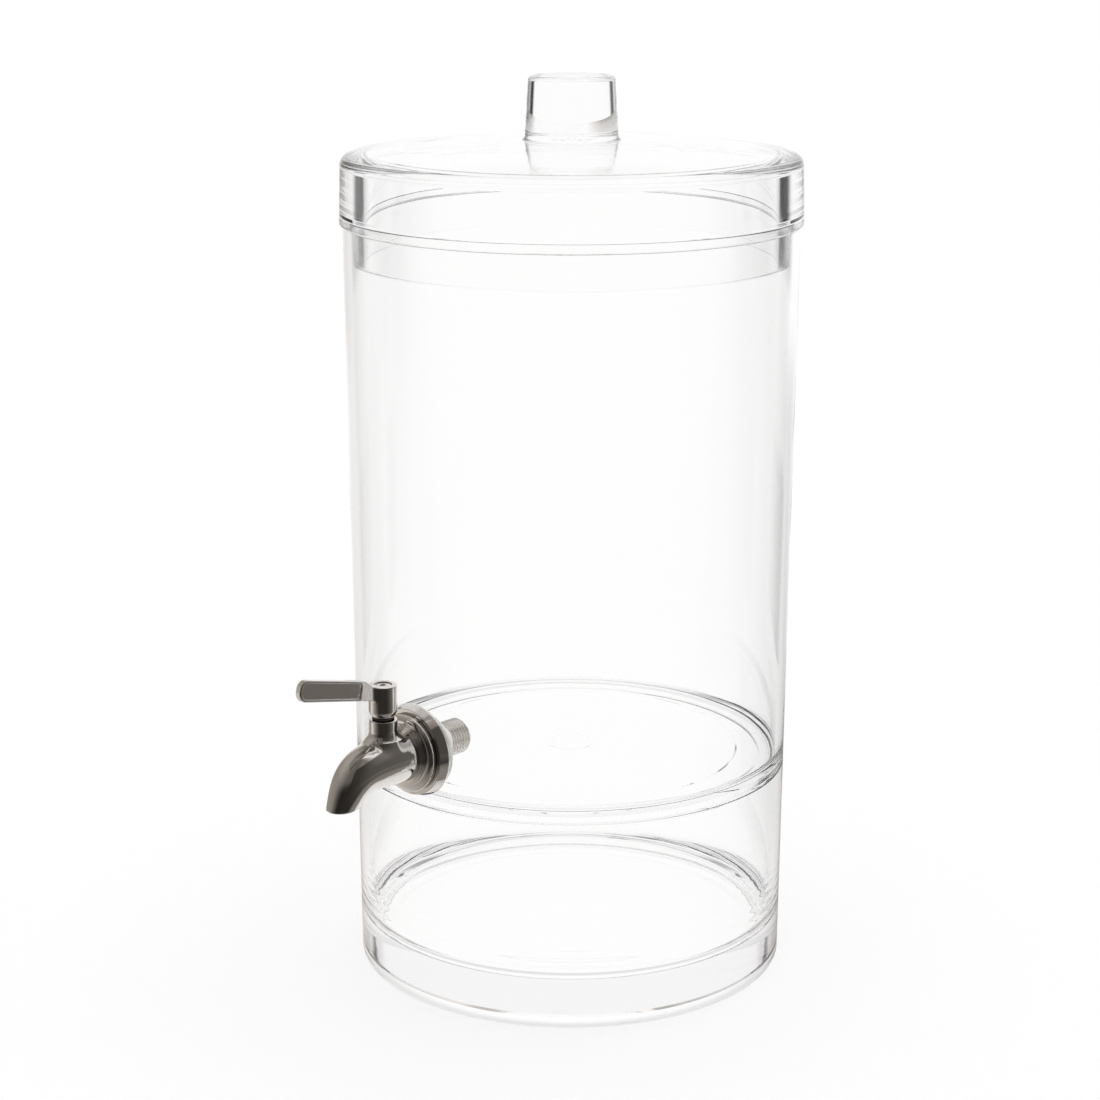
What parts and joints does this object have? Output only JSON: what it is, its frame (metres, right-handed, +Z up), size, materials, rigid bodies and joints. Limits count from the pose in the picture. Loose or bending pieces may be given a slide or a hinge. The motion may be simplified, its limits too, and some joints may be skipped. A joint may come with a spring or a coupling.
{
  "type": "juice dispenser",
  "caption": "Tall clear tapered juice dispenser on a clear base chamber, with a domed knobbed lid and a polished steel lever tap.",
  "frame": {"origin": "on the table plane, under the middle of the whole outline from the spout's end to the lid's back; the clear body's axis stands at Y = +34.1 mm", "axes": "+Z up along the dispenser's axis; the tap's spout points along -Y; +X is to the right of somebody facing the tap"},
  "size_m": [0.2086, 0.2768, 0.4123],
  "materials": {
    "clear_plastic": "clear, polished",
    "polished_steel": "mirror polished stainless steel",
    "turned_steel": "machined stainless steel",
    "silicone": "translucent pale silicone",
    "black_rubber": "smooth",
    "white_nylon": "satin"
  },
  "bodies": {
    "base": {"base_chamber": "clear_plastic"},
    "container": {"container": "clear_plastic", "tap_body": "polished_steel", "tap_shank": "turned_steel", "tap_collar": "polished_steel", "outer_gasket": "silicone", "inner_gasket": "silicone", "inner_washer": "turned_steel", "lock_nut": "white_nylon", "shank_seal": "black_rubber", "valve_seat_inlet": "white_nylon", "valve_seat_outlet": "white_nylon", "gland": "turned_steel"},
    "lid": {"lid": "clear_plastic", "lid_knob": "clear_plastic"},
    "lever": {"lever": "polished_steel", "lever_screw": "turned_steel", "spindle": "turned_steel", "valve": "turned_steel", "spindle_ring_upper": "black_rubber", "spindle_ring_lower": "black_rubber", "spindle_washer": "black_rubber"}
  },
  "joints": [
    {"name": "container_lift", "type": "slide", "parent": "base", "child": "container", "axis": [0, 0, 1], "range_m": [0, 0.15]},
    {"name": "lid_lift", "type": "slide", "parent": "container", "child": "lid", "axis": [0, 0, 1], "range_m": [0, 0.15]},
    {"name": "lever_turn", "type": "hinge", "parent": "container", "child": "lever", "pos_m": [0, -0.08871, 0.146], "axis": [0, 0, 1], "range_deg": [0, 90]}
  ]
}
